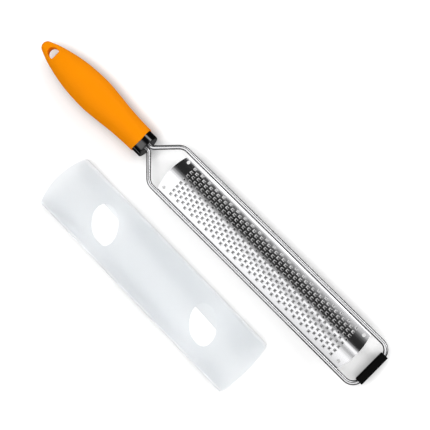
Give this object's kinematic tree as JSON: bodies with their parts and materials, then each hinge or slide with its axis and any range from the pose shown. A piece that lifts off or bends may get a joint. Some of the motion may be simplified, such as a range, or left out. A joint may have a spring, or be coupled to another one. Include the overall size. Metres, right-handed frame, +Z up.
{
  "type": "rasp zester",
  "caption": "Hand-held rasp zester: an arched, toothed steel blade on a bent wire frame with a soft handle and a rubber foot, and a translucent clip-on blade cover lying beside it.",
  "frame": {"origin": "middle of the rubber foot's underside, on the table", "axes": "+X along the tool from the handle to the foot, +Z up, -Y towards the cover that lies beside the tool"},
  "size_m": [0.3486, 0.1112, 0.019],
  "materials": {
    "polished_wire": "polished stainless steel wire",
    "polished_sheet": "polished stainless steel sheet",
    "black_rubber": "matte black rubber",
    "black_plastic": "glossy black plastic",
    "orange_soft_touch": "satin soft-touch elastomer",
    "translucent_sheet": "frosted translucent plastic sheet"
  },
  "bodies": {
    "zester": {"wire_frame": "polished_wire", "grater_blade": "polished_sheet", "foot": "black_rubber", "handle_core": "black_plastic", "grip": "orange_soft_touch"},
    "cover": {"cover": "translucent_sheet"}
  },
  "joints": [
    {"name": "cover_lift", "type": "slide", "parent": "zester", "child": "cover", "axis": [0.5467, 0.6148, 0.5685], "range_m": [0, 0.1055]}
  ]
}
